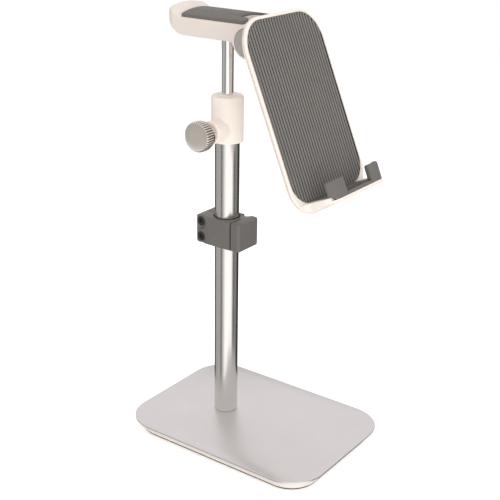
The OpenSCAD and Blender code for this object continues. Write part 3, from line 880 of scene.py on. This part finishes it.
def tray_shelf():
    """The shelf with its rising underside and the raised shoulders at its sides."""
    plan = shelf_plan()
    shelf = prism(plan, -103.0, SHELF_TOP)
    reach = 20.0
    lower = []
    for n, rise in ((-1.4, -0.2), (reach, SHELF_RISE * reach / SHELF_N)):
        lower.append([(x, -PAD_FACE - n, z + rise) for x, z in tray_outline(0.02)])
    shelf = solve(shelf, loft(lower), "INTERSECT")
    for side in (-1, 1):
        x0, x1 = sorted((side * SHOULDER_X, side * (SHELF_X + 6)))
        shoulder = solve(prism(plan, SHELF_TOP - 1.0, MAT_TOP), box(
            (x0, -PAD_FACE - HOOK_END_N - 1.4, -110), (x1, 0, -80)), "INTERSECT")
        shelf = solve(shelf, shoulder, "UNION")
    return soften(shelf, 0.7, 4, 40, lambda e: all(v.co.y < -TRAY_RIM - 0.02 for v in e.verts))


def build_tray_front():
    """The tray's front half in one piece with its shelf."""
    front = solve(tray_plate(), tray_shelf(), "UNION")
    piece("tray_front_moulded", front, "tray", "tray", "tray_front", IN_TRAY, sharp=38)


def build_tray_back():
    """The tray's back half, with half of the seam's groove at its rim."""
    back = slab(tray_outline, [
        (TRAY_BACK, 1.7), (TRAY_BACK + 0.07, 1.15), (TRAY_BACK + 0.3, 0.7), (TRAY_BACK + 0.62, 0.42),
        (TRAY_BACK + 0.85, 0.34), (TRAY_SEAM - 0.45, 0.32), (TRAY_SEAM - 0.30, 0.55),
        (TRAY_SEAM - 0.25, 1.1), (TRAY_SEAM - 0.02, 1.1)])
    piece("tray_back_shell", back, "tray", "tray", "tray_back", TRAY_FACE)


def pad_edge(x, outline):
    """The low and the high edge at x of an outline given as (half, low, high, low radius, high radius)."""
    half, bottom, top, r_low, r_high = outline
    across = abs(x)
    low = bottom + fall(r_low, across - (half - r_low))
    high = top - fall(r_high, across - (half - r_high))
    return low, high


def pad_loop(shares, inset, height):
    """Loop of the pad at an inset, with its points at the same shares of the width."""
    size = (PAD_X - inset, PAD_LOW + inset, PAD_HIGH - inset, PAD_R_LOW - inset, PAD_R_HIGH - inset)
    low, high = [], []
    for s in shares:
        x = s * size[0]
        a, b = pad_edge(x, size)
        h = height(x) if callable(height) else height
        low.append((x, a, h))
        high.append((x, b, h))
    return low + list(reversed(high))


def rib(x):
    """Height of the ribbed face: rounded crests and narrower valleys."""
    wave = 0.5 - 0.5 * math.cos(2 * math.pi * x / RIB_PITCH)
    return PAD_FACE - RIB_DEPTH * (1 - wave) ** 1.6


def build_tray_pad():
    """The ribbed pad: a plain border round a face whose ribs are in the mesh."""
    border = 1.15
    inner = PAD_X - border
    count = int(2 * inner / RIB_PITCH * 8)
    shares = set(-1 + 2 * k / count for k in range(count + 1))
    for angle in range(4, 36, 4):
        s = 1 - (1 - math.cos(math.radians(angle))) * (PAD_R_HIGH - border) / inner
        shares |= {s, -s}
    shares = sorted(shares)
    loops = [pad_loop(shares, 0.0, PAD_BED), pad_loop(shares, 0.0, PAD_FACE - 0.25),
             pad_loop(shares, 0.07, PAD_FACE - 0.08), pad_loop(shares, 0.25, PAD_FACE),
             pad_loop(shares, border - 0.25, PAD_FACE), pad_loop(shares, border, rib)]
    bm = loft(loops, cap_end=False)
    bm.verts.ensure_lookup_table()
    size = len(loops[0])
    first = size * (len(loops) - 1)
    columns = len(shares)
    for k in range(columns - 1):
        a, b = first + k, first + k + 1
        c, d = first + size - 2 - k, first + size - 1 - k
        bm.faces.new((bm.verts[a], bm.verts[b], bm.verts[c], bm.verts[d]))
    piece("tray_pad_ribbed", bm, "tray", "pad", "tray_pad", TRAY_FACE, sharp=60)


def hook_path():
    """The middle of a hook's wall from above, from its inner end round the shelf's corner."""
    mid = SHELF_N - HOOK_T / 2
    centre = (SHELF_X - SHELF_R, SHELF_N - SHELF_R)
    r = SHELF_R - HOOK_T / 2
    points = []
    for k in range(9):
        points.append((HOOK_GAP + (centre[0] - HOOK_GAP) * k / 8, mid))
    stop = math.degrees(math.asin((HOOK_END_N - centre[1] - 0.6) / r))
    for x, n in arc(centre[0], centre[1], r, 90, stop, 14)[1:]:
        points.append((x, n))
    return points


def along(path, lengths, s):
    """The point and the direction at length s of a path."""
    s = min(max(s, 0), lengths[-1])
    k = 0
    while k < len(path) - 2 and s > lengths[k + 1] + 1e-9:
        k += 1
    a, b = Vector(path[k]), Vector(path[k + 1])
    return a.lerp(b, (s - lengths[k]) / (lengths[k + 1] - lengths[k])), (b - a).normalized()


def hook_loops():
    """Sections of the right hook's sleeve, in the tray's frame."""
    path = hook_path()
    lengths = [0.0]
    for a, b in zip(path, path[1:]):
        lengths.append(lengths[-1] + math.dist(a, b))
    total = lengths[-1]
    end_r = 1.1
    stations = [end_r * (1 - math.cos(math.radians(a))) for a in range(10, 91, 16)]
    stations += [1.5 + (total - 3.0) * k / 26 for k in range(27)]
    stations += [total - end_r * (1 - math.cos(math.radians(a))) for a in range(90, 9, -16)]
    loops = []
    for s in stations:
        shrink = fall(end_r, end_r - min(s, total - s))
        p, tangent = along(path, lengths, s)
        out = Vector((-tangent.y, tangent.x))
        # the lower edge steps up from the shelf to the shoulder at the outer end
        low = SHELF_TOP + (MAT_TOP - SHELF_TOP) * min(max((s - total + 3.6) / 1.6, 0), 1)
        w = HOOK_T / 2 - shrink
        r_low, r_high = (0.5, 1.1) if shrink < 0.9 else (0.3, 0.3)
        section = round_polygon([(-w, low + shrink, r_low), (w, low + shrink, r_low),
                                 (w, HOOK_TOP - shrink, r_high), (-w, HOOK_TOP - shrink, r_high)], 6)
        loops.append([(p.x + out.x * w, -PAD_FACE - p.y - out.y * w, z) for w, z in section])
    return loops


def build_hooks():
    """The silicone sleeves on the two hooks."""
    loops = hook_loops()
    for side, name in ((1, "right"), (-1, "left")):
        bm = loft([[(side * x, y, z) for x, y, z in loop] for loop in loops])
        cover = f"hook_cover_{name}"
        piece(cover + "_sleeve", bm, "tray", "silicone", cover, IN_TRAY, sharp=50)


def build_shelf_mat():
    """The mat on the shelf, which runs out between the hooks."""
    inner = SHELF_N - HOOK_T
    corner = arc(SHELF_X - SHELF_R, -PAD_FACE - SHELF_N + SHELF_R, SHELF_R - HOOK_T, -90, -48, 6)
    right = [(HOOK_GAP - 0.05, -PAD_FACE - SHELF_N, 1.0), (HOOK_GAP - 0.05, -PAD_FACE - inner + 0.02, 0)]
    right += [(x, y, 0) for x, y in corner]
    right += [(SHOULDER_X - 0.05, -PAD_FACE - HOOK_END_N, 0), (SHOULDER_X - 0.05, -PAD_FACE, 0)]
    left = [(-x, y, r) for x, y, r in reversed(right)]
    plan = round_polygon(right + left, 5)
    mat = slab(lambda d: inset_loop(plan, d), [
        (SHELF_TOP, 0.1), (SHELF_TOP + 0.25, 0.0), (MAT_TOP - 0.5, 0.0), (MAT_TOP - 0.15, 0.12),
        (MAT_TOP, 0.42)])
    piece("shelf_mat_soft", mat, "tray", "silicone", "shelf_mat", IN_TRAY, sharp=45)


def build_bracket():
    """The knuckle and flange behind the tray, and the flange's screws."""
    side = arc(0, 0, KNUCKLE_R, -118, 90, 40)
    profile = side + [(-10.4, KNUCKLE_R)] + arc(-10.6, KNUCKLE_R + 1.2, 1.2, -90, -180, 5)
    profile += [(-TRAY_BACK, KNUCKLE_R + 1.2), (-TRAY_BACK, -11.0)]
    profile += arc(-9.0, -11.0, 2.0, 150, 60, 6)
    arm = loft([[(y, z, x) for y, z in profile] for x in (-KNUCKLE_X, KNUCKLE_X)])
    arm.transform(SIDE_VIEW)
    bmesh.ops.recalc_face_normals(arm, faces=arm.faces)
    plan = round_polygon([(-14, -30, 4), (14, -30, 4), (14, -13, 4), (KNUCKLE_X, -13, 1.5),
                          (KNUCKLE_X, 9.2, 1.5), (-KNUCKLE_X, 9.2, 1.5), (-KNUCKLE_X, -13, 1.5),
                          (-14, -13, 4)], 6)
    flange = slab(lambda d: inset_loop(plan, d), [
        (10.0, 0.45), (10.1, 0.16), (10.35, 0.0), (TRAY_BACK, 0.0)])
    flange.transform(UPRIGHT)
    body = solve(arm, flange, "UNION")
    body = cut(body, rod_cutter(HINGE_BOLT_R, -20, 20, ALONG_X, 48))
    piece("tray_bracket_moulded", body, "tray", "white", "tray_bracket", IN_TRAY,
          sharp=40)
    heads = []
    for x in TRAY_SCREW_X:
        for z in TRAY_SCREW_Z:
            head = screw(2.0, 1.0, 1.1, 3.3, "cross")
            head.transform(Matrix.Translation((x, -10.0, z)) @ ALONG_Y)
            heads.append(head)
    piece("tray_screw_set", joined(heads), "tray", "steel", "tray_screws", IN_TRAY)


# ---- cable clip ----

def clip_block():
    """The whole clip before it is divided and bored."""
    levels = edge_levels(CLIP_LOW, CLIP_HIGH, 1.2, 1.2)
    return slab(lambda d: round_rect(-10.5, 6.5, 10.0, 40.0, 2.0, 2.0, d, 8), levels)


def along_clip(z):
    """Place of a screw through the clip's ears, local Z along it."""
    return Matrix.Translation((0, EAR_Y, z)) @ ALONG_X


def build_clip_shell():
    """The half with the counterbored ears."""
    shell = solve(clip_block(), box((-12, CLIP_FRONT + CLIP_SEAM, 120), (-0.2, 42, 150)), "INTERSECT")
    shell = cut(shell, rod_cutter(CLIP_BORE + 0.02, 120, 150, AT_POLE),
                box((-12, EAR_Y, 120), (EAR_X, 42, 150)))
    for z in CLIP_SCREW_Z:
        shell = cut(shell, rod_cutter(5.0, -12, EAR_X, along_clip(z), 64))
    shell = soften(shell, 0.45, 3, 40)
    for z in CLIP_SCREW_Z:
        shell = cut(shell, rod_cutter(3.0, -12, EAR_X + CLIP_COUNTERBORE, along_clip(z), 64),
                    rod_cutter(1.6, -12, 1, along_clip(z), 32))
    piece("clip_shell_moulded", shell, "clip", "clip", "clip_shell", sharp=38)


def build_clip_frame():
    """The half with the front wall, the cable's channel and the nuts' pockets."""
    front = solve(clip_block(), box((-12, 0, 120), (12, CLIP_FRONT, 150)), "INTERSECT")
    side = solve(clip_block(), box((0.2, CLIP_FRONT - 0.1, 120), (12, 42, 150)), "INTERSECT")
    clip = solve(front, side, "UNION")
    clip = cut(clip, rod_cutter(CLIP_BORE + 0.02, 120, 150, AT_POLE),
               rod_cutter(3.0, 120, 150, Matrix.Translation((9.0, 14.4, 0)), 64))
    clip = soften(clip, 0.45, 3, 40)
    for z in CLIP_SCREW_Z:
        hexagon = lathe([(3.3, 5.6), (3.3, 12)], 6)
        hexagon.transform(along_clip(z))
        clip = cut(clip, hexagon, rod_cutter(1.6, -1, 11, along_clip(z), 32))
    piece("clip_frame_moulded", clip, "clip", "clip", "clip_frame", sharp=38)


def build_clip_screws():
    heads = []
    for z in CLIP_SCREW_Z:
        head = screw(2.8, 2.2, 1.5, 14.4, "hex")
        head.transform(along_clip(z) @ Matrix.Translation((0, 0, EAR_X + CLIP_COUNTERBORE)))
        heads.append(head)
    piece("clip_screw_set", joined(heads), "clip", "dark_steel", "clip_screws")


# ---- carried-over CAD nodes ----

CAD_FINISHES = {
    "steel": ["base_screws", "pole_plug", "pole_bolt", "pole_washer", "thumbscrew_stud", "swivel_washer",
              "swivel_screw", "hinge_bolt", "hinge_nut", "hinge_spring_washer", "friction_washers",
              "clip_nuts"],
    "nylon": ["clamp_pad", "rod_piston", "swivel_bush"],
    "brass": ["boss_insert"],
    "ballast": ["base_weight"],
    "foot": ["clip_liner"],
}


def dress_cad():
    """Gives the CAD nodes that stay their finishes."""
    for key, names in CAD_FINISHES.items():
        for name in names:
            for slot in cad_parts[name].material_slots:
                slot.material = FINISH[key]


# ---- camera, light and floor ----

def add_camera():
    """The photograph's camera."""
    pitch = math.radians(21.433)
    roll = math.radians(-0.830)
    ahead = Vector((math.sin(HEADING), math.cos(HEADING), 0))
    up = Vector((0, 0, 1))
    forward = ahead * math.cos(pitch) - up * math.sin(pitch)
    down = -(up * math.cos(pitch) + ahead * math.sin(pitch))
    right = Vector((math.cos(HEADING), -math.sin(HEADING), 0))
    x_axis = right * math.cos(roll) + down * math.sin(roll)
    y_axis = right * math.sin(roll) - down * math.cos(roll)
    z_axis = -forward
    camera = add_object("camera", bpy.data.cameras.new("camera"))
    camera.data.sensor_width = 36.0
    camera.data.lens = 74.72
    place = Vector((-479.83, -340.71, 356.76)) * MM
    rows = [(x_axis[i], y_axis[i], z_axis[i], place[i]) for i in range(3)]
    camera.matrix_world = Matrix(rows + [(0, 0, 0, 1)])
    camera.data.clip_start = 0.01
    bpy.context.scene.camera = camera


def add_light(name, place, target, size, power, color=(1, 1, 1)):
    """A square area light that is not seen in reflections."""
    lamp = bpy.data.lights.new(name, "AREA")
    lamp.size = size
    lamp.energy = power
    lamp.color = color
    ob = add_object(name, lamp)
    ob.location = place
    ob.rotation_euler = (Vector(target) - Vector(place)).to_track_quat("-Z", "Y").to_euler()
    ob.visible_glossy = False


# what stands round the stand below the horizon: degrees round from the front, brightness
STUDIO_RING = [(-180, 0.70), (-168, 0.70), (-158, 0.03), (-132, 0.04), (-122, 0.48), (-58, 0.52),
               (-54, 0.07), (-46, 0.07), (-42, 0.60), (-32, 0.68), (-12, 1.50), (50, 1.50), (62, 0.30),
               (70, 0.14), (78, 0.12), (84, 0.32), (106, 0.28), (118, 0.03), (156, 0.03), (166, 0.70),
               (180, 0.70)]
RING_TINT = (1.0, 0.985, 0.965)
SKY = (1.01, 0.975, 0.945)


def studio_ring(tree, coords):
    """Colour of the ring by azimuth; its front is where the photograph was taken from."""
    mapping = node(tree, "ShaderNodeMapping", Rotation=(0, 0, HEADING), Vector=coords)
    turned = axes(tree, mapping.outputs["Vector"])
    front = math_node(tree, "MULTIPLY", turned["Y"], -1.0)
    angle = math_node(tree, "ARCTAN2", turned["X"], front)
    ramp = node(tree, "ShaderNodeValToRGB", Fac=ranged(tree, angle, 0.0, 1.0, -math.pi, math.pi))
    elements = ramp.color_ramp.elements
    while len(elements) < len(STUDIO_RING):
        elements.new(0.5)
    for element, (degrees, value) in zip(elements, STUDIO_RING):
        element.position = (degrees + 180) / 360
        element.color = (*[value * c for c in RING_TINT], 1)
    return ramp.outputs["Color"]


def add_world():
    """Pale studio: metal reflects the ring below the horizon and the sky above; the view is white."""
    world = bpy.data.worlds.new("studio")
    world.use_nodes = True
    bpy.context.scene.world = world
    tree = world.node_tree
    background = tree.nodes["Background"]
    coords = node(tree, "ShaderNodeTexCoord").outputs["Generated"]
    above = ranged(tree, axes(tree, coords)["Z"], 0.0, 1.0, -0.10, 0.12)
    studio = mixed(tree, above, studio_ring(tree, coords), SKY)
    path = node(tree, "ShaderNodeLightPath")
    seen = mixed(tree, path.outputs["Is Camera Ray"], studio, (1.0, 1.0, 1.0))
    tree.links.new(seen, background.inputs["Color"])
    background.inputs["Strength"].default_value = 1.0


def floor_outline(d):
    """The floor's outline in millimetres, nearly a circle, set in by d."""
    return round_rect(-1300, -1300, 1300, 1300, 1200, 1200, d, 40)


def floor_material():
    """Pale floor that turns from lit to glowing further out, so that its edge is not seen."""
    material = surface("floor_finish", (0.93, 0.93, 0.93), 0.9, 0.0, 0.003, 300.0, 0.01,
                       mottle_scale=3.0, specular=0.1)
    tree = material.node_tree
    shader = tree.nodes["Principled BSDF"]
    coords = node(tree, "ShaderNodeTexCoord").outputs["Object"]
    reach = node(tree, "ShaderNodeVectorMath", operation="LENGTH")
    tree.links.new(coords, reach.inputs[0])
    near = shader.inputs["Base Color"].links[0].from_socket
    fade = ranged(tree, reach.outputs["Value"], 0.0, 1.0, 0.2, 0.7)
    tree.links.new(mixed(tree, fade, near, (0.15, 0.15, 0.15)), shader.inputs["Base Color"])
    shader.inputs["Emission Color"].default_value = (1.0, 1.0, 1.0, 1.0)
    glow = ranged(tree, reach.outputs["Value"], 0.30, 0.98, 0.2, 0.7)
    tree.links.new(glow, shader.inputs["Emission Strength"])
    return material


def add_floor():
    bm = slab(floor_outline, [(-20, 0), (-0.3, 0), (0, 5)])
    bm.transform(Matrix.Scale(MM, 4))
    mesh = as_mesh(bm, "floor")
    mesh.materials.append(floor_material())
    floor = add_object("floor", mesh)
    floor.visible_glossy = False


build_base()
build_tube()
build_collar()
build_rod()
build_knob()
build_hanger_shell()
build_hanger_pad()
build_hanger_cover()
build_hinge()
build_tray_front()
build_tray_back()
build_tray_pad()
build_hooks()
build_shelf_mat()
build_bracket()
build_clip_shell()
build_clip_frame()
build_clip_screws()
dress_cad()
add_camera()
add_world()
add_floor()
add_light("overhead", (0.1, 0.0, 1.3), (0, 0, 0.1), 1.2, 3.6)
add_light("key", (-0.80, -1.00, 0.42), (0, 0, 0.15), 0.9, 7.4, (1.0, 0.985, 0.97))
add_light("fill", (0.9, -0.5, 0.5), (0, 0, 0.15), 0.9, 1.0)

scene = bpy.context.scene
scene.view_settings.view_transform = "Standard"
scene.view_settings.look = "None"
